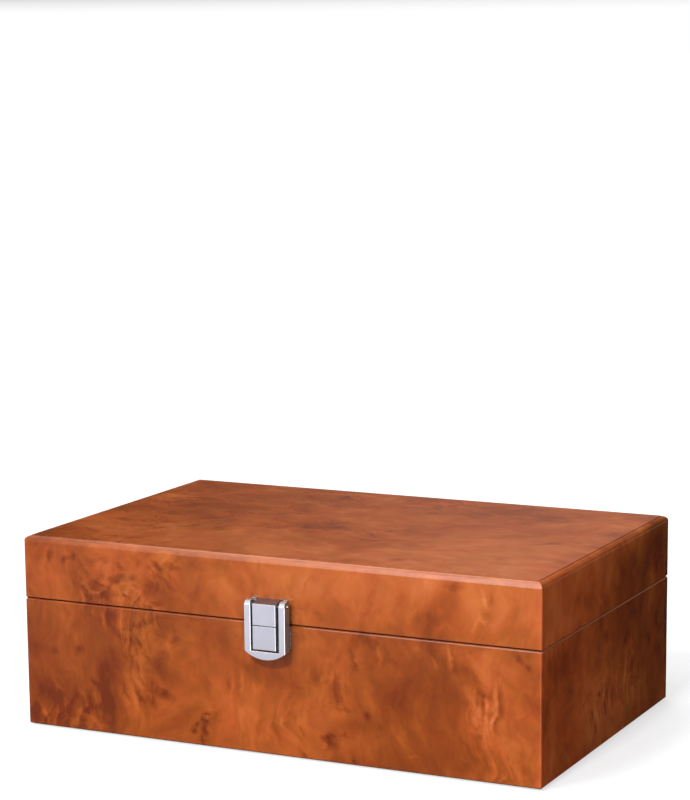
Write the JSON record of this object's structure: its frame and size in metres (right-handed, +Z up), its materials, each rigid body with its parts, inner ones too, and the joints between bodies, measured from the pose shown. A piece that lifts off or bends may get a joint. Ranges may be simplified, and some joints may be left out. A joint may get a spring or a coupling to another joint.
{
  "type": "chess piece box",
  "caption": "Rectangular veneered wooden box for chess pieces: lined, divided base, lid on butt hinges at the back, metal box latch at the front.",
  "frame": {"origin": "middle of the flat underside, on the surface that the box stands on", "axes": "+Z up, X along the box's length, -Y towards the latch, +Y towards the hinges"},
  "size_m": [0.28, 0.1912, 0.0987],
  "materials": {
    "burl_veneer": "burl veneer under satin lacquer",
    "lining_cloth": "short-pile baize",
    "underside_baize": "short-pile baize",
    "brass": "polished",
    "latch_chrome": "polished chrome plate",
    "steel": "nickel plated"
  },
  "bodies": {
    "base": {"base_front_wall": "burl_veneer", "base_back_wall": "burl_veneer", "base_left_wall": "burl_veneer", "base_right_wall": "burl_veneer", "base_bottom_panel": "burl_veneer", "underside_baize": "underside_baize", "base_floor_liner": "lining_cloth", "base_front_liner": "lining_cloth", "base_back_liner": "lining_cloth", "base_left_liner": "lining_cloth", "base_right_liner": "lining_cloth", "divider": "lining_cloth", "left_hinge_base_leaf": "brass", "right_hinge_base_leaf": "brass", "left_hinge_pin": "brass", "right_hinge_pin": "brass", "hinge_base_screws": "brass", "latch_keeper": "latch_chrome", "latch_keeper_nails": "steel"},
    "lid": {"lid_front_wall": "burl_veneer", "lid_back_wall": "burl_veneer", "lid_left_wall": "burl_veneer", "lid_right_wall": "burl_veneer", "lid_top_panel": "burl_veneer", "lid_pad": "lining_cloth", "lid_front_liner": "lining_cloth", "lid_back_liner": "lining_cloth", "lid_left_liner": "lining_cloth", "lid_right_liner": "lining_cloth", "left_hinge_lid_leaf": "brass", "right_hinge_lid_leaf": "brass", "hinge_lid_screws": "brass", "latch_lid_plate": "latch_chrome", "latch_lid_nails": "steel", "latch_pin": "steel"},
    "hasp": {"latch_hasp": "latch_chrome"}
  },
  "joints": [
    {"name": "lid_hinge", "type": "hinge", "parent": "base", "child": "lid", "pos_m": [0, 0.0925, 0.0664], "axis": [-1, 0, 0], "range_deg": [0, 95]},
    {"name": "hasp_hinge", "type": "hinge", "parent": "lid", "child": "hasp", "pos_m": [0, -0.0934, 0.076], "axis": [-1, 0, 0], "range_deg": [0, 180]}
  ]
}
